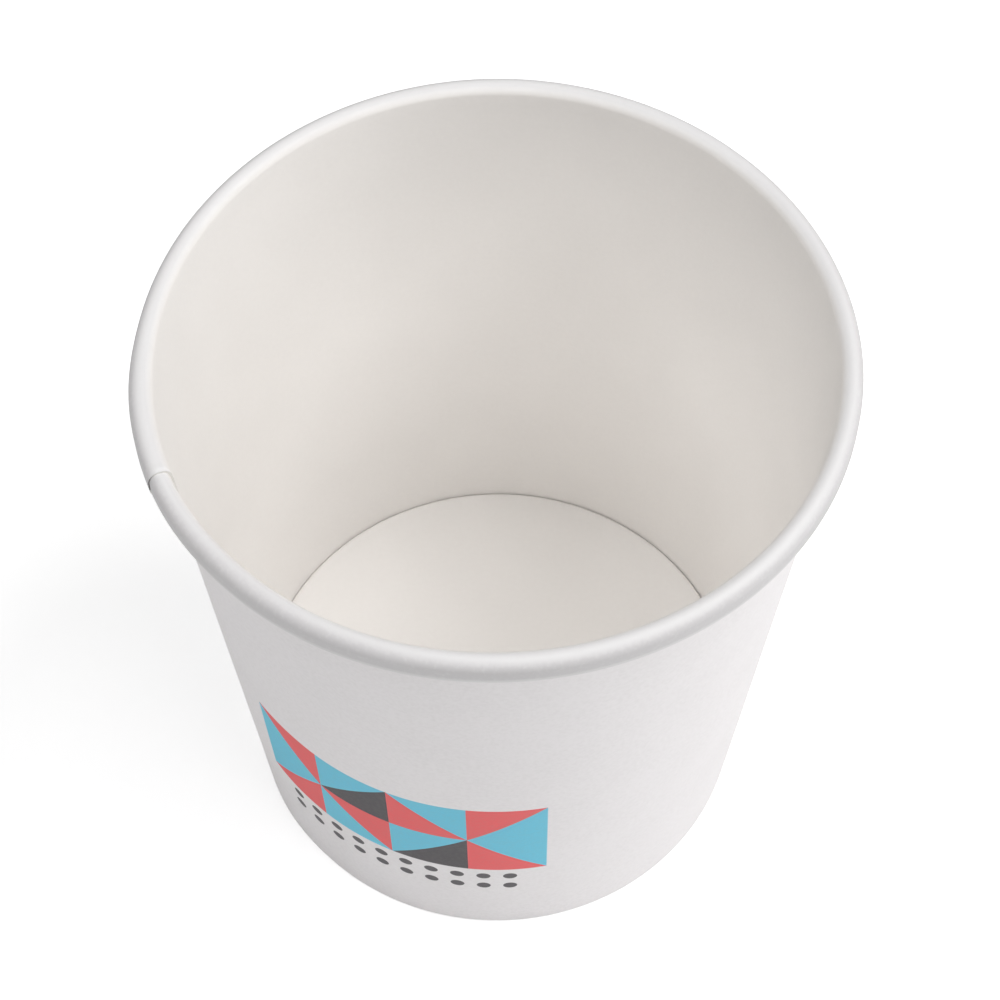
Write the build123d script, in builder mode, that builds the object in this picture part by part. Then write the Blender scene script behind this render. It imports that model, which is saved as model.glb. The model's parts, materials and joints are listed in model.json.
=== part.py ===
from build123d import *
from math import asin, atan2, ceil, cos, degrees, hypot, radians, sin, tan
import os

os.makedirs("parts", exist_ok=True)

# A small single-wall paper hot cup that holds 120 ml, made of two pieces of coated board:
# the sidewall, with its lapped side seam, rolled rim and folded foot, and the bottom disc,
# whose skirt is held in that fold. Millimetres, +Z up, front towards -Y. The origin lies on
# the table below the centre of the foot. The board's printed face is the outside of the
# wall, the inside of the roll and the inner face of the hem. Its coated face holds the drink.

# Overall size
rim_diameter = 62.0
cup_height = 63.0
foot_diameter = 49.0

# Board, the same for both pieces
board = 0.30
layer_gap = 0.03          # between the wall, the skirt and the hem

# Rolled rim: the board curls outwards, down, in and up again, and ends beside the wall
roll_width = 1.85
roll_height = 2.50
roll_gap = 0.08           # between the roll's end and the wall
upper_runs = 6            # straight runs that the board turns in over the top of the roll
lower_runs = 4            # and under it

# Side seam: the inner edge lies at seam_azimuth, and the outer edge laps past it
seam_azimuth = -156.0
lap_width = 7.0           # all three lengths are measured round the rim
climb_length = 13.0       # where the outer layer climbs onto the inner one
ease_length = 11.0        # where the roll eases back past the outer edge
seam_press = 0.10         # how far the sealed layers are pressed into each other
loft_spacing = 6.0        # most degrees between two sections of a loft

# Bottom disc and the hem that holds it
floor_height = 4.00       # top of the disc above the table
disc_crease = 0.20        # inside radius of the bend between the disc and its skirt
bend_runs = 1             # straight runs that the board turns in there
skirt_clearance = 0.20    # below the skirt's edge, inside the fold
hem_clearance = 0.50      # between the hem's edge and the disc

# The wall's printed face is the line from the foot that touches the roll's inner circle
foot_radius = foot_diameter / 2
roll_radius = roll_width / 2 - board
circle_out = rim_diameter / 2 - board - roll_radius - foot_radius
circle_up = cup_height - board - roll_radius
lean = atan2(circle_out, circle_up) - asin(roll_radius / hypot(circle_out, circle_up))

# The fold at the foot holds three layers, and its hem ends below the disc
fold_width = (3 * board + 2 * layer_gap) / cos(lean)
hem_height = floor_height - board - hem_clearance
skirt_edge = board + skirt_clearance

# The seam's stretches round the cup
seam_step = board - seam_press
lap_angle = degrees(2 * lap_width / rim_diameter)
climb_angle = degrees(2 * climb_length / rim_diameter)
ease_angle = degrees(2 * ease_length / rim_diameter)


def wall_face(height, inset=0.0):
    """Radius, at a height, of the cone that lies inset inside the wall's printed face."""
    return foot_radius + height * tan(lean) - inset / cos(lean)


def section_plane(azimuth):
    """Upright plane through the cup's axis: local x is the radius and local y the height."""
    turn = radians(azimuth)
    return Plane(origin=(0, 0, 0), x_dir=(cos(turn), sin(turn), 0), z_dir=(sin(turn), -cos(turn), 0))


def arc_points(centre, radius, first, last, runs):
    """Points along an arc about a centre, between two directions, so that it turns in even steps."""
    turns = [radians(first + (last - first) * run / runs) for run in range(runs + 1)]
    return [(centre[0] + radius * cos(turn), centre[1] + radius * sin(turn)) for turn in turns]


def board_section(wall_out=0.0, roll_grow=0.0):
    """Section of the sidewall's board, from the hem's edge, round the foot, to the roll's end.

    wall_out moves the wall outwards and the hem inwards, as on the outer layer of the lap.
    roll_grow makes the roll larger all round, as on the layer that wraps the other in the roll.
    """
    upper_radius = roll_radius + roll_grow
    upper_up = cup_height + roll_grow - board - upper_radius
    upper_out = wall_face(upper_up) + wall_out + upper_radius / cos(lean)

    # The lower circle stands on the roll's lowest height, between its side and the wall
    side = upper_out + upper_radius
    lowest = cup_height - roll_height - roll_grow
    room = (side + board - foot_radius - wall_out) * cos(lean) - lowest * sin(lean) - roll_gap
    lower_radius = room / (1 + cos(lean) + sin(lean)) - board
    lower_out = side - lower_radius
    lower_up = lowest + board + lower_radius

    wall_side = 180 - degrees(lean)
    faces = []
    for depth in (0, board):
        hem_shift = depth / cos(lean) - fold_width - wall_out
        wall_shift = wall_out - depth / cos(lean)
        upper = arc_points((upper_out, upper_up), upper_radius + depth, wall_side, 0, upper_runs)
        lower = arc_points((lower_out, lower_up), lower_radius + depth, 0, wall_side - 360, lower_runs)
        faces.append([
            (wall_face(hem_height) + hem_shift, hem_height),
            (wall_face(depth) + hem_shift, depth),
            (wall_face(depth) + wall_shift, depth),
            *upper,
            *lower,
        ])
    printed_face, coated_face = faces
    with BuildSketch() as section:
        with BuildLine():
            Polyline(*printed_face, *reversed(coated_face), close=True)
        make_face()
    return section.sketch


def loft_shares(angle):
    """Even shares of an angle, close enough for a loft through them to follow the cup's curve."""
    steps = ceil(angle / loft_spacing)
    return [step / steps for step in range(steps + 1)]


with BuildPart() as sidewall:
    # Single layer, from the start of the climb round to the end of the eased roll
    climb_start = seam_azimuth + climb_angle
    lap_end = seam_azimuth - lap_angle
    with BuildSketch(section_plane(climb_start)):
        add(board_section())
    revolve(axis=Axis.Z, revolution_arc=360 - climb_angle - lap_angle - ease_angle)

    # Outer layer, which climbs over the inner edge and lies on it as far as its own raw edge
    for share in loft_shares(climb_angle):
        with BuildSketch(section_plane(climb_start - share * climb_angle)):
            add(board_section(wall_out=share * seam_step))
    loft(ruled=True)
    with BuildSketch(section_plane(lap_end)):
        add(board_section(wall_out=seam_step))
    revolve(axis=Axis.Z, revolution_arc=lap_angle)

    # Inner layer, which wraps the outer one in the roll and eases back past its raw edge
    with BuildSketch(section_plane(lap_end)):
        add(board_section(roll_grow=seam_step))
    revolve(axis=Axis.Z, revolution_arc=lap_angle)
    for share in loft_shares(ease_angle):
        with BuildSketch(section_plane(lap_end - share * ease_angle)):
            add(board_section(roll_grow=(1 - share) * seam_step))
    loft(ruled=True)
sidewall.part.label = "sidewall"
export_step(sidewall.part, "parts/sidewall.step")


with BuildPart() as bottom_disc:
    # Flat disc with a drawn skirt that follows the wall down into the fold
    bend_up = floor_height - board - disc_crease
    bend_out = wall_face(bend_up, 2 * board + layer_gap + disc_crease)
    faces = []
    for depth in (0, board):
        bend_radius = disc_crease + board - depth
        faces.append([
            (0, floor_height - depth),
            *arc_points((bend_out, bend_up), bend_radius, 90, -degrees(lean), bend_runs),
            (wall_face(skirt_edge, board + layer_gap + depth), skirt_edge),
        ])
    top_face, under_face = faces
    with BuildSketch(Plane.XZ):
        with BuildLine():
            Polyline(*top_face, *reversed(under_face), close=True)
        make_face()
    revolve(axis=Axis.Z)
bottom_disc.part.label = "bottom_disc"
export_step(bottom_disc.part, "parts/bottom_disc.step")
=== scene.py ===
import json
from math import asin, atan2, ceil, cos, hypot, pi, radians, sin, tan

import bpy
from mathutils import Matrix, Quaternion, Vector, noise


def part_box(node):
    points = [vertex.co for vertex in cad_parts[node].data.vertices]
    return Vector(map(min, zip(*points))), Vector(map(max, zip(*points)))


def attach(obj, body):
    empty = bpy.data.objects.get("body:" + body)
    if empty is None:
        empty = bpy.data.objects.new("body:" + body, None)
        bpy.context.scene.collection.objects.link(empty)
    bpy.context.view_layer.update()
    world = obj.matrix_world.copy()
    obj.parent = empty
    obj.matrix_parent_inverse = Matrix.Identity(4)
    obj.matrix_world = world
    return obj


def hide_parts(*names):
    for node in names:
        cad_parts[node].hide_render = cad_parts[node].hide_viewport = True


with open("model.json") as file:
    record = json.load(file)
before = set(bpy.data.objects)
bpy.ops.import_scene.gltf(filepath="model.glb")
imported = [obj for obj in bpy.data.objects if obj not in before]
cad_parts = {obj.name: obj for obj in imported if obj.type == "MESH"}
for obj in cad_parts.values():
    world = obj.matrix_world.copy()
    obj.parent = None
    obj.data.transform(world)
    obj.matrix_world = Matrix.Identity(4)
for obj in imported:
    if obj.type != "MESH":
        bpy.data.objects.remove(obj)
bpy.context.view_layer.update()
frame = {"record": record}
scene = bpy.context.scene


# Sidewall: one fan-shaped blank of coated board, wrapped to a cone and heat-sealed where its
# two side edges lap. Its top edge is rolled outwards round heated tools into the rim, and its
# foot is folded in and up as a hem. It is made the same way here, from a flat blank.
mm = 0.001
lid_rim = next(mount for mount in frame["record"]["mounts"] if mount["name"] == "lid_rim")
rim_radius = lid_rim["dims"]["r_mm"] * mm
cup_height = lid_rim["pos_m"][2]
floor_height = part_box("bottom_disc")[1][2]
foot_radius = 24.5 * mm
board = 0.30 * mm
layer_gap = 0.03 * mm         # between the wall, the skirt and the hem
hem_clearance = 0.5 * mm      # between the hem's edge and the disc
crease_radius = 0.35 * mm     # outside the folds at the foot

# Rolled rim, which is a little deeper in the photo than the lid mount's length
roll_width = 1.85 * mm
extra_depth = 0.3 * mm
roll_height = lid_rim["dims"]["length_mm"] * mm + extra_depth
roll_gap = 0.08 * mm          # between the roll's end and the wall
tuck_length = 0.45 * mm       # of the roll's end that runs up beside the wall

# Side seam: the outer layer climbs onto the inner one, laps it and ends in a raw edge, past
# which the roll eases back. The lengths round the cup are angles.
seam_azimuth = radians(-156)
lap_angle = radians(12.9)
climb_angle = radians(24)
ease_angle = radians(20.3)
edge_angle = radians(0.6)     # where the press fades out past a raw edge
seam_press = 0.10 * mm        # how far the sealed layers are pressed into each other
seam_step = board - seam_press
roll_step = 0.13 * mm

# The wall's printed face is the line from the foot that touches the roll's inner circle
roll_radius = roll_width / 2 - board
circle_out = rim_radius - board - roll_radius - foot_radius
circle_up = cup_height - board - roll_radius
lean = atan2(circle_out, circle_up) - asin(roll_radius / hypot(circle_out, circle_up))
fold_width = (3 * board + 2 * layer_gap) / cos(lean)
hem_height = floor_height - board - hem_clearance
hem_crease = crease_radius * tan((pi / 2 + lean) / 2)
wall_crease = crease_radius * tan((pi / 2 - lean) / 2)

# The roll's lower circle fits between its outer side, its lowest height and the wall
lower_room = (rim_radius - foot_radius) * cos(lean) - (cup_height - roll_height) * sin(lean) - roll_gap
lower_radius = lower_room / (1 + cos(lean) + sin(lean)) - board
side_length = roll_height - 2 * board - roll_radius - lower_radius

# Each stretch of the board's printed face: length, turn to the left, rows of the blank, and in
# the roll, the radius that grows on the layer that wraps the other one
stretches = [
    (hem_height / cos(lean) - hem_crease, 0, 6, None),                               # hem
    (crease_radius * (pi / 2 + lean), pi / 2 + lean, 6, None),                       # crease
    (fold_width - hem_crease - wall_crease, 0, 1, None),                             # foot
    (crease_radius * (pi / 2 - lean), pi / 2 - lean, 6, None),                       # crease
    ((circle_up + roll_radius * sin(lean)) / cos(lean) - wall_crease, 0, 50, None),  # wall
    (roll_radius * (pi - lean), lean - pi, 20, "Roll Radius"),                       # top of the roll
    (side_length, 0, 8, None),                                                       # its outer side
    (lower_radius * (pi + lean), -lean - pi, 18, "Lower Radius"),                    # its underside
    (tuck_length, 0, 2, None),                                                       # its end
]
wall_start = sum(stretch[0] for stretch in stretches[:4])
wall_end = wall_start + stretches[4][0]
top_length = stretches[5][0]
side_end = wall_end + top_length + side_length

# The blank's rows follow those stretches. Its columns go round the cup and on over the lap,
# with extra ones where the layers step.
rows = [0.0]
for length, _, steps, _ in stretches:
    rows += [rows[-1] + length * (step + 1) / steps for step in range(steps)]
turn_steps = 360
lap_steps = ceil(lap_angle / (2 * pi / turn_steps))
columns = [2 * pi * step / turn_steps for step in range(turn_steps + 1)]
columns += [2 * pi + lap_angle * (step + 1) / lap_steps for step in range(lap_steps)]
columns += [lap_angle, lap_angle + edge_angle, 2 * pi - edge_angle]
columns.sort()

across, along = len(columns), len(rows)
points = [(rim_radius * turn, row, depth) for depth in (0, board) for turn in columns for row in rows]
printed_side = 0.0
cut_side = 0.5
coated_side = 1.0


def corner(layer, column, row):
    """Number of the blank's point at a column and a row, on the printed layer 0 or the coated 1."""
    return (layer * across + column) * along + row


faces, sides = [], []
for column in range(across - 1):
    for row in range(along - 1):
        square = [(column, row), (column, row + 1), (column + 1, row + 1), (column + 1, row)]
        faces.append([corner(0, *place) for place in square])
        faces.append([corner(1, *place) for place in reversed(square)])
        sides += [printed_side, coated_side]

# The cut edge goes once round the blank: hem, outer side edge, roll and inner side edge
edge = [(column, 0) for column in range(across)]
edge += [(across - 1, row) for row in range(1, along)]
edge += [(column, along - 1) for column in reversed(range(across - 1))]
edge += [(0, row) for row in reversed(range(along - 1))]
for here, there in zip(edge, edge[1:]):
    faces.append([corner(0, *here), corner(0, *there), corner(1, *there), corner(1, *here)])
    sides.append(cut_side)

blank = bpy.data.meshes.new("sidewall_board")
blank.from_pydata(points, [], faces)
blank.polygons.foreach_set("use_smooth", [side != cut_side for side in sides])
blank.attributes.new("side", "FLOAT", "FACE").data.foreach_set("value", sides)

# Painted shade on the roll: a little on its top, and more on its outer side, widest where the lap
# climbs. The outer side's shade stops short of its lower edge, which stays lighter as a lit lip.
# Places on the roll's top are shares of its length.
roll_shade_start = 0.10
roll_shade_full = 0.35
side_shade_start = 0.56
side_shade_fade = 0.25
climb_reach = 0.2             # how much sooner the painted shade starts where the lap climbs
unshaded_lip = 0.3 * mm


def rise(place, first, last):
    """Share of the way from the first place to the last, held between 0 and 1."""
    return min(1, max(0, (place - first) / (last - first)))


rolled_shares, roll_side_shade_shares = [], []
for arc, row, _ in points:
    over = (row - wall_end) / top_length
    rolled_shares.append(rise(over, roll_shade_start, roll_shade_full))
    climb = max(0, 1 - abs(arc / rim_radius + climb_angle - 2 * pi) / (2 * climb_angle))
    start = side_shade_start - climb_reach * climb
    roll_side_shade_shares.append(rise(over, start, start + side_shade_fade) * rise(row, side_end, side_end - unshaded_lip))
blank.attributes.new("rolled", "FLOAT", "POINT").data.foreach_set("value", rolled_shares)
blank.attributes.new("roll_side_shade", "FLOAT", "POINT").data.foreach_set("value", roll_side_shade_shares)

# The print is laid on the flat blank, in millimetres from the middle of its panel
panel_azimuth = radians(-113.07)
panel_height = 22.2 * mm
panel_turn = radians(-1.43)
panel_reach = (foot_radius + panel_height * tan(lean)) / sin(lean)
panel_row = wall_start - wall_crease + panel_height / cos(lean)
print_map = blank.uv_layers.new(name="print")
for loop in blank.loops:
    arc, row, _ = blank.vertices[loop.vertex_index].co
    swing = (seam_azimuth + 2 * pi - arc / rim_radius - panel_azimuth) * sin(lean)
    reach = panel_reach + row - panel_row
    spot = Vector((reach * sin(swing), reach * cos(swing) - panel_reach))
    print_map.data[loop.index].uv = Matrix.Rotation(-panel_turn, 2) @ spot / mm
sidewall = bpy.data.objects.new("sidewall_board", blank)
scene.collection.objects.link(sidewall)


class Socket:
    """A node's output that joins into sums: every operation adds a node to its tree."""

    def __init__(self, tree, socket=None):
        self.tree = tree
        self.socket = socket

    def node(self, kind, settings, values, output=0):
        """A new node's output, once its settings and then its values or links are set."""
        node = self.tree.nodes.new(kind)
        for name, setting in settings.items():
            setattr(node, name, setting)
        for name, value in values.items():
            if isinstance(value, Socket):
                value.feed(node, name)
            else:
                node.inputs[name].default_value = value
        return Socket(self.tree, node.outputs[output])

    def feed(self, node, name):
        """Link this value to a node's input."""
        self.tree.links.new(self.socket, node.inputs[name])

    def maths(self, operation, *values):
        return self.node("ShaderNodeMath", {"operation": operation}, dict(enumerate(values)))

    def __add__(self, other):
        return self.maths("ADD", self, other)

    def __radd__(self, other):
        return self.maths("ADD", other, self)

    def __sub__(self, other):
        return self.maths("SUBTRACT", self, other)

    def __rsub__(self, other):
        return self.maths("SUBTRACT", other, self)

    def __mul__(self, other):
        return self.maths("MULTIPLY", self, other)

    def __rmul__(self, other):
        return self.maths("MULTIPLY", other, self)

    def __truediv__(self, other):
        return self.maths("DIVIDE", self, other)

    def __rtruediv__(self, other):
        return self.maths("DIVIDE", other, self)

    def __mod__(self, other):
        return self.maths("FLOORED_MODULO", self, other)

    def __rmod__(self, other):
        return self.maths("FLOORED_MODULO", other, self)

    def __pow__(self, other):
        return self.maths("POWER", self, other)

    def __rpow__(self, other):
        return self.maths("POWER", other, self)

    def __abs__(self):
        return self.maths("ABSOLUTE", self)

    def floor(self):
        return self.maths("FLOOR", self)

    def sine(self):
        return self.maths("SINE", self)

    def cosine(self):
        return self.maths("COSINE", self)

    def share(self):
        """This value, held between 0 and 1."""
        return self.node("ShaderNodeClamp", {}, {"Value": self, "Min": 0.0, "Max": 1.0})

    def eased(self):
        """This value, held between 0 and 1, with a soft start and end."""
        return self.node("ShaderNodeMapRange", {"interpolation_type": "SMOOTHSTEP"}, {"Value": self})

    def between(self, first, second):
        """The number between two numbers, by this value as the factor."""
        return first + self * (second - first)

    def mix(self, first, second):
        """The colour between two colours, by this value as the factor."""
        values = {0: self, 6: first, 7: second}
        return self.node("ShaderNodeMix", {"data_type": "RGBA"}, values, output=2)

    def parts(self):
        """The three values of a vector."""
        first = self.node("ShaderNodeSeparateXYZ", {}, {"Vector": self})
        return [Socket(self.tree, output) for output in first.socket.node.outputs]

    def noise(self, place, scale, detail):
        """Even noise about 0.5 at a place."""
        values = {"Vector": place, "Scale": scale, "Detail": detail, "Roughness": 0.5}
        return self.node("ShaderNodeTexNoise", {}, values)


def start_paint(name):
    """A new material, its shader, and the start of its sums."""
    paint = bpy.data.materials.new(name)
    paint.use_nodes = True
    return paint, paint.node_tree.nodes["Principled BSDF"], Socket(paint.node_tree)


# Paperboard: bare fibres outside, a thin warm coating inside, and cut edges with a painted shadow
# where the roll's outer side has painted shade, which shows at the seam's step
wall_paint, shader, pen = start_paint("cupboard")
place = pen.node("ShaderNodeTexCoord", {}, {}, output="Object")
side = pen.node("ShaderNodeAttribute", {"attribute_name": "side"}, {}, output="Fac")
# The two masks of the roll's painted shade, on its top and on its outer side
rolled = pen.node("ShaderNodeAttribute", {"attribute_name": "rolled"}, {}, output="Fac")
roll_side_shade = pen.node("ShaderNodeAttribute", {"attribute_name": "roll_side_shade"}, {}, output="Fac")
coated = ((side - cut_side) * 2).share()
printed = ((cut_side - side) * 2).share()
cut = 1 - coated - printed
fibres = pen.noise(place, scale=2600, detail=1.5)
clouds = pen.noise(place, scale=160, detail=0.0)

# A patchwork of two-coloured tiles. Every other tile is mirrored, the diagonal of each parts
# its lower ink from its upper one, and three pairs of inks take turns.
tile = 7.5
tiles_across = 4
tiles_up = 2
ink_edge = 0.01               # how softly the ink ends, as a share of a tile or a pitch
across_print, up_print, _ = pen.node("ShaderNodeUVMap", {"uv_map": "print"}, {}).parts()
tile_across = across_print / tile
tile_up = up_print / tile
tile_number = tile_across.floor() + tile_up.floor()
mirrored = (tile_number % 2).between(tile_across % 1, 1 - tile_across % 1)
lower = ((1 - mirrored - tile_up % 1) / ink_edge + 0.5).share()
inked = ((tiles_across / 2 - abs(tile_across)) / ink_edge).share()
inked = inked * ((tiles_up / 2 - abs(tile_up)) / ink_edge).share()
past_first = (tile_number % 3).share()
past_second = (tile_number % 3 - 1).share()

# Two rows of dots below the tiles
dot_pitch = 2.55
dot_reach = 0.27              # a dot's radius, as a share of the pitch
dot_gap = 0.4
dot_rows = 2
dots_aside = 5                # dots on each side of the panel's middle
dot_across = across_print / dot_pitch
dot_down = (-tile * tiles_up / 2 - dot_gap - up_print) / dot_pitch
dot = ((dot_across % 1 - 0.5) ** 2 + (dot_down % 1 - 0.5) ** 2) ** 0.5
dot = ((dot_reach - dot) / ink_edge).share()
dot = dot * ((dots_aside - abs(dot_across)) / ink_edge).share()
dot = dot * (dot_down.floor() + 1).share() * (dot_rows - dot_down.floor()).share()

coral = (0.90, 0.11, 0.115, 1)
teal = (0.14, 0.62, 0.82, 1)
charcoal = (0.06, 0.055, 0.06, 1)
outer_white = (0.91, 0.885, 0.89, 1)
inner_white = (0.945, 0.922, 0.898, 1)
# Painted shade on the roll: greyer on its top, and greyer still on its outer side
roll_shade_white = (0.755, 0.745, 0.745, 1)
roll_side_shade_white = (0.64, 0.625, 0.63, 1)
cut_white = (0.82, 0.80, 0.77, 1)
cut_shadow_grey = (0.22, 0.21, 0.21, 1)
fibre_grey = (0.42, 0.40, 0.38, 1)
tile_cover = 0.97
dot_cover = 0.95
side_shade_level = 1.7
side_shade_grain = 1.4             # how much of the scuffs the fibres break up
lower_ink = past_second.mix(past_first.mix(coral, teal), charcoal)
upper_ink = past_second.mix(past_first.mix(teal, coral), teal)
# The roll's painted shade on the coated face, broken up by the fibres
roll_side_shade_broken = (roll_side_shade * (side_shade_level - fibres * side_shade_grain)).share()
colour = coated.mix(outer_white, inner_white)
colour = (coated * rolled).mix(colour, roll_shade_white)
colour = (coated * roll_side_shade_broken).mix(colour, roll_side_shade_white)
# Cut edges get a painted shadow where the roll's side is shaded, at the seam's step
colour = cut.mix(colour, roll_side_shade.mix(cut_white, cut_shadow_grey))
colour = (inked * printed * tile_cover).mix(colour, lower.mix(upper_ink, lower_ink))
colour = (dot * printed * dot_cover).mix(colour, charcoal)


def finish_board(shader, colour, shade, rough, grain, relief):
    """Feed a board's shader: its colour, greyed by a shade, its roughness and its grain's relief."""
    grain_depth = 0.04 * mm
    bump = {"Strength": relief, "Distance": grain_depth, "Height": grain}
    shade.share().mix(colour, fibre_grey).feed(shader, "Base Color")
    rough.feed(shader, "Roughness")
    rough.node("ShaderNodeBump", {}, bump).feed(shader, "Normal")
    shader.inputs["IOR"].default_value = 1.45
    shader.inputs["Specular IOR Level"].default_value = 0.4


# The coating softens the fibres, and shines a little more than bare board
fibre_shade = coated.between(0.22, 0.06)
cloud_shade = 0.05
even_shade = 0.03
even_roughness = coated.between(0.62, 0.48)
fibre_roughness = 0.12
fibre_grain = coated.between(1.0, 0.4)
cloud_grain = 0.6
shade = (fibres - 0.5) * fibre_shade + (clouds - 0.5) * cloud_shade + even_shade
rough = even_roughness + (fibres - 0.5) * fibre_roughness
grain = fibres * fibre_grain + clouds * cloud_grain
finish_board(shader, colour, shade, rough, grain, relief=0.4)


def start_forming(name, settings):
    """The start of a new tree's sums, and its inputs by name: the geometry and the settings."""
    tree = bpy.data.node_groups.new(name, "GeometryNodeTree")
    tree.interface.new_socket("Geometry", in_out="INPUT", socket_type="NodeSocketGeometry")
    tree.interface.new_socket("Geometry", in_out="OUTPUT", socket_type="NodeSocketGeometry")
    for label, value in settings.items():
        kind = "NodeSocketInt" if isinstance(value, int) else "NodeSocketFloat"
        tree.interface.new_socket(label, in_out="INPUT", socket_type=kind)
    entry = tree.nodes.new("NodeGroupInput")
    return Socket(tree), {label: Socket(tree, entry.outputs[label]) for label in ["Geometry", *settings]}


def form(piece, geometry, paint, settings):
    """End a tree in this geometry and paint, and keep what it makes of a piece as a plain mesh."""
    tree = geometry.tree
    geometry = geometry.node("GeometryNodeRealizeInstances", {}, {"Geometry": geometry})
    geometry = geometry.node("GeometryNodeSetMaterial", {}, {"Geometry": geometry, "Material": paint})
    geometry.feed(tree.nodes.new("NodeGroupOutput"), "Geometry")
    forming = piece.modifiers.new("form", "NODES")
    forming.node_group = tree
    for item in tree.interface.items_tree:
        if item.in_out == "INPUT" and item.name in settings:
            forming[item.identifier] = settings[item.name]
    evaluated = piece.evaluated_get(bpy.context.evaluated_depsgraph_get())
    piece.data = bpy.data.meshes.new_from_object(evaluated)
    piece.modifiers.remove(forming)


# The forming steps as one tree: the board is bent from stretch to stretch, lapped and wrapped.
# The rim is a little out of round, and leans to the right and the front.
settings = {
    "Roll Radius": roll_radius,
    "Lower Radius": lower_radius,
    "Seam Step": seam_step,
    "Roll Step": roll_step,
    "Seam Press": seam_press,
    "Seam Azimuth": seam_azimuth,
    "Rim Lean Right": 0.345 * mm,
    "Rim Lean Back": -0.220 * mm,
    "Oval": 0.0048,
    "Oval Azimuth": radians(75.5),
    "Three Lobed": 0.0039,
    "Lobe Azimuth": radians(35.5),
    "Waviness": 0.10 * mm,
}
pen, given = start_forming("form_sidewall", settings)
arc, row, depth = pen.node("GeometryNodeInputPosition", {}, {}).parts()
turned = arc / rim_radius

# Where they lap, both layers are pressed a little thinner
in_lap = ((lap_angle - turned) / edge_angle + 1).share()
on_lap = ((turned - 2 * pi) / edge_angle + 1).share()
press = given["Seam Press"] / 2
depth = depth * (1 - (in_lap + on_lap) * press / board) + in_lap * press

# Radius and height of the printed face, from the hem's edge to the roll's end, and the
# direction in which the board runs there
wraps = ((lap_angle + ease_angle - turned) / ease_angle).eased()
growth = wraps * given["Roll Step"]
start = 0.0
heading = -pi / 2 - lean
out = foot_radius - fold_width + hem_height * tan(lean)
up = hem_height
faced = heading
for length, turn, _, curl in stretches:
    done = ((row - start) / length).share()
    if turn:
        radius = given[curl] + growth if curl else length / abs(turn)
        sign = 1 if turn > 0 else -1
        now = done * turn + heading
        out = out + (now.sine() - sin(heading)) * radius * sign
        up = up + (cos(heading) - now.cosine()) * radius * sign
        faced = faced + done * turn
    else:
        out = out + done * (length * cos(heading))
        up = up + done * (length * sin(heading))
    start += length
    heading += turn
out = out - depth * faced.sine()
up = up + depth * faced.cosine()

# The outer layer's wall steps outwards over the inner one, and its hem steps inwards
climbs = ((turned - 2 * pi + climb_angle) / climb_angle).eased()
lapped = ((row - wall_start) / crease_radius + 1).share() * 2 - 1
out = out + climbs * given["Seam Step"] * lapped

# The free rim warps most, and the wall is wavy above the disc that holds the foot in shape
warp_power = 1.5
wave_scale = 1.3
ripple_scale = 6.0
ripple_share = 0.15
azimuth = given["Seam Azimuth"] - turned
high = (up / cup_height).share()
lobes = given["Oval"] * ((azimuth - given["Oval Azimuth"]) * 2).cosine()
lobes = lobes - given["Three Lobed"] * ((azimuth - given["Lobe Azimuth"]) * 3).cosine()
out = out * (1 + high ** warp_power * lobes)
around = pen.node("ShaderNodeCombineXYZ", {}, {0: azimuth.cosine(), 1: azimuth.sine(), 2: up / rim_radius})
wave = pen.noise(around, wave_scale, detail=1.0) - 0.5
ripple = pen.noise(around, ripple_scale, detail=1.0) - 0.5
settled = ((up - floor_height) / floor_height).share()
out = out + (wave + ripple * ripple_share) * given["Waviness"] * settled
right = out * azimuth.cosine() + high * given["Rim Lean Right"]
back = out * azimuth.sine() + high * given["Rim Lean Back"]
formed = pen.node("ShaderNodeCombineXYZ", {}, {0: right, 1: back, 2: up})
sheet = pen.node("GeometryNodeSetPosition", {}, {"Geometry": given["Geometry"], "Position": formed})
form(sidewall, sheet, wall_paint, settings)
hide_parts("sidewall")
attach(sidewall, "root")


# Bottom disc: a round blank of the same board, drawn into a shallow cap. Its skirt is sealed
# to the inside of the wall and held in the hem. Its coated face is up, towards the drink.
disc_crease = 0.20 * mm       # inside the bend between the disc and its skirt
skirt_clearance = 0.20 * mm   # below the skirt's edge, inside the fold
skirt_edge = board + skirt_clearance
bend_up = floor_height - board - disc_crease
bend_out = foot_radius + bend_up * tan(lean) - (2 * board + layer_gap + disc_crease) / cos(lean)
flat_rings = 14
bend_rings = 8
skirt_rings = 4
disc_steps = 288

# Half of the section, from the middle of the top, round the skirt, to the middle below
profile = []
for depth, order in ((0, 1), (board, -1)):
    bend = disc_crease + board - depth
    track = [(bend_out * ring / flat_rings, floor_height - depth) for ring in range(flat_rings)]
    for ring in range(bend_rings + 1):
        tilt = pi / 2 - (pi / 2 + lean) * ring / bend_rings
        track.append((bend_out + bend * cos(tilt), bend_up + bend * sin(tilt)))
    last_out, last_up = track[-1]
    for ring in range(1, skirt_rings + 1):
        height = last_up + (skirt_edge - last_up) * ring / skirt_rings
        track.append((last_out + (height - last_up) * tan(lean), height))
    profile += track[::order]

# The flat part swells and sags a little, less towards the bend
unevenness = 0.09 * mm
swell_width = 9 * mm
swell_power = 4


def uneven(out, up, angle=0.0):
    """The disc's point at a radius, a height and an angle, moved up or down by the swell."""
    right, back = out * cos(angle), out * sin(angle)
    swell = noise.noise(Vector((right, back, 0)) / swell_width)
    return right, back, up + unevenness * swell * max(0, 1 - (out / bend_out) ** swell_power)


rings = profile[1:-1]
turns = [2 * pi * step / disc_steps for step in range(disc_steps)]
points = [uneven(*profile[0])]
points += [uneven(out, up, angle) for out, up in rings for angle in turns]
points.append(uneven(*profile[-1]))

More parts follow.
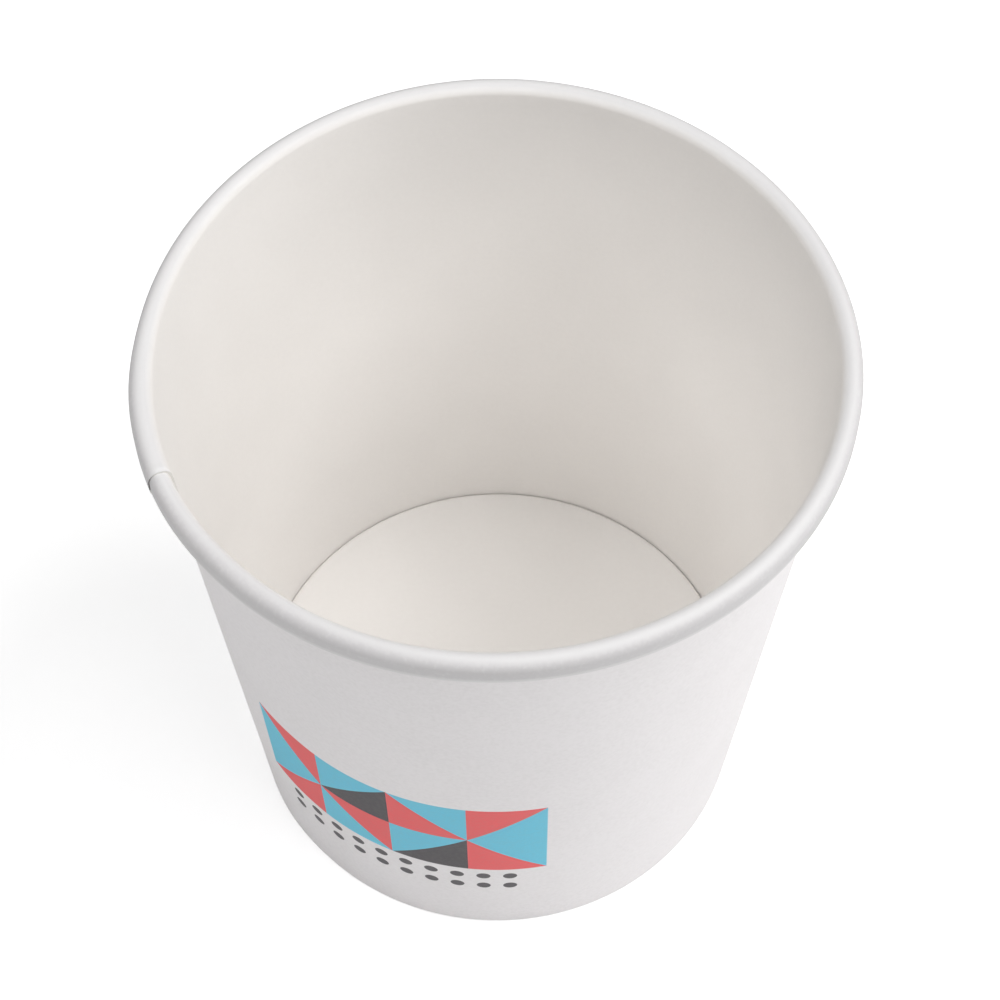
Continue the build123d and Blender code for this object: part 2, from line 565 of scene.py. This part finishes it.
faces = []
for step in range(disc_steps):
    after = (step + 1) % disc_steps
    faces.append((0, 1 + step, 1 + after))
    for ring in range(len(rings) - 1):
        first = 1 + ring * disc_steps
        second = first + disc_steps
        faces.append((first + step, second + step, second + after, first + after))
    last = 1 + (len(rings) - 1) * disc_steps
    faces.append((last + step, len(points) - 1, last + after))
sharp_angle = radians(50)
cap = bpy.data.meshes.new("bottom_disc_board")
cap.from_pydata(points, [], faces)
cap.shade_smooth()
cap.set_sharp_from_angle(angle=sharp_angle)
disc = bpy.data.objects.new("bottom_disc_board", cap)
scene.collection.objects.link(disc)

disc_paint, shader, pen = start_paint("coated_disc")
place = pen.node("ShaderNodeTexCoord", {}, {}, output="Object")
fibres = pen.noise(place, scale=2200, detail=1.0)
clouds = pen.noise(place, scale=140, detail=0.0)
fibre_shade = 0.05
cloud_shade = 0.06
even_shade = 0.04
even_roughness = 0.46
fibre_roughness = 0.1
shade = (fibres - 0.5) * fibre_shade + (clouds - 0.5) * cloud_shade + even_shade
rough = even_roughness + (fibres - 0.5) * fibre_roughness
finish_board(shader, inner_white, shade, rough, fibres + clouds, relief=0.2)
cap.materials.append(disc_paint)
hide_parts("bottom_disc")
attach(disc, "root")


# Knurling: a toothed wheel presses the hem, the skirt and the wall together from inside the
# foot. It leaves short upright ridges in the hem's inner face, evenly spaced.
ridge_radius = 0.16 * mm
ridge_length = 2.1 * mm
ridge_height = 1.75 * mm
ridge_sink = 0.09 * mm        # from the hem's inner face to the middle of a ridge
ridge_ring = foot_radius - fold_width + ridge_height * tan(lean) + ridge_sink
ridge_shape = Vector((1, 1, ridge_length / 2 / ridge_radius))
settings = {"Count": 150, "Ring Radius": ridge_ring, "Height": ridge_height, "Lean": lean}
pen, given = start_forming("knurl_hem", settings)
circle = pen.node(
    "GeometryNodeMeshCircle", {}, {"Vertices": given["Count"], "Radius": given["Ring Radius"]}
)
ridge = pen.node(
    "GeometryNodeMeshUVSphere", {}, {"Segments": 10, "Rings": 10, "Radius": ridge_radius}
)
ridge = pen.node("GeometryNodeTransform", {}, {"Geometry": ridge, "Scale": ridge_shape})
azimuth = pen.node("GeometryNodeInputIndex", {}, {}) / given["Count"] * (2 * pi)
facing = pen.node("ShaderNodeCombineXYZ", {}, {1: given["Lean"], 2: azimuth})
ridges = pen.node(
    "GeometryNodeInstanceOnPoints", {}, {"Points": circle, "Instance": ridge, "Rotation": facing}
)
lift = pen.node("ShaderNodeCombineXYZ", {}, {2: given["Height"]})
ridges = pen.node("GeometryNodeTransform", {}, {"Geometry": ridges, "Translation": lift})
knurl = bpy.data.objects.new("hem_knurl", bpy.data.meshes.new("hem_knurl"))
scene.collection.objects.link(knurl)
form(knurl, ridges, disc_paint, settings)
knurl.data.shade_smooth()
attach(knurl, "root")


# Studio: a white table in a white surround, under six round soft lamps. The strongest is on
# the right.
table_reach = 3.0             # from the cup to each edge
corners = [(-1, -1), (1, -1), (1, 1), (-1, 1)]
table_mesh = bpy.data.meshes.new("table")
table_mesh.from_pydata([(x * table_reach, y * table_reach, 0) for x, y in corners], [], [(0, 1, 2, 3)])
table = bpy.data.objects.new("table", table_mesh)
scene.collection.objects.link(table)


def grey(level):
    return (level, level, level, 1)


# The table is seen as white right out to its edge, past the reach of the lamps
lit_radius = 0.4
near_lift = 0.36
table_paint, shader, pen = start_paint("table_white")
seen = pen.node("ShaderNodeLightPath", {}, {}, output="Is Camera Ray")
across_table, along_table, _ = pen.node("ShaderNodeTexCoord", {}, {}, output="Object").parts()
far = (((across_table ** 2 + along_table ** 2) ** 0.5 - lit_radius) / lit_radius).eased()
lift = far.mix(grey(near_lift), grey(1))
seen.mix(grey(0), lift).feed(shader, "Emission Color")
shader.inputs["Emission Strength"].default_value = 1
shader.inputs["Base Color"].default_value = grey(0.93)
shader.inputs["Roughness"].default_value = 0.9
shader.inputs["Specular IOR Level"].default_value = 0.1
table_mesh.materials.append(table_paint)

# Each lamp's name, azimuth and elevation in degrees, and power in watts
lamps = [
    ("overhead", 90, 84, 0.95),
    ("key_right", 0, 58, 2.88),
    ("low_right", 0, 15, 1.3),
    ("front_right", -45, 42, 1.25),
    ("front", -101, 49, 1.26),
    ("left", 180, 52, 1.85),
]
lamp_reach = 0.8
lamp_width = 0.45
lamp_aim = Vector((0, 0, 0.03))
for name, azimuth, elevation, power in lamps:
    lamp = bpy.data.lights.new(name, "AREA")
    lamp.shape = "DISK"
    lamp.size = lamp_width
    lamp.energy = power
    level = lamp_reach * cos(radians(elevation))
    spot = Vector((level * cos(radians(azimuth)), level * sin(radians(azimuth)), 0))
    spot.z = lamp_reach * sin(radians(elevation))
    light = bpy.data.objects.new(name, lamp)
    light.location = lamp_aim + spot
    light.rotation_euler = spot.to_track_quat("Z", "Y").to_euler()
    scene.collection.objects.link(light)

# The surround is seen as white, is duller as a reflection, and lights the cup only faintly
reflected_level = 0.6
light_level = 0.02
world = bpy.data.worlds.new("white_surround")
world.use_nodes = True
scene.world = world
pen = Socket(world.node_tree)
seen = pen.node("ShaderNodeLightPath", {}, {}, output="Is Camera Ray")
through = pen.node("ShaderNodeLightPath", {}, {}, output="Is Transmission Ray")
reflected = pen.node("ShaderNodeLightPath", {}, {}, output="Is Glossy Ray")
surround = reflected.mix(grey(light_level), grey(reflected_level))
surround = (seen + through).share().mix(surround, grey(1))
surround.feed(world.node_tree.nodes["Background"], "Color")

camera_place = Vector((0.24, -125.74, 229.68)) * mm
camera_aim = Vector((0.50, 0, 39.45)) * mm
camera_tilt = Quaternion((0, 0, 1), radians(-0.603))
camera = bpy.data.objects.new("camera", bpy.data.cameras.new("camera"))
camera.data.sensor_width = 36
camera.data.lens = 88.9
camera.data.clip_start = 0.01  # for close views
camera.location = camera_place
camera.rotation_mode = "QUATERNION"
camera.rotation_quaternion = (camera_aim - camera_place).to_track_quat("-Z", "Y") @ camera_tilt
scene.collection.objects.link(camera)
scene.camera = camera
scene.view_settings.view_transform = "Standard"
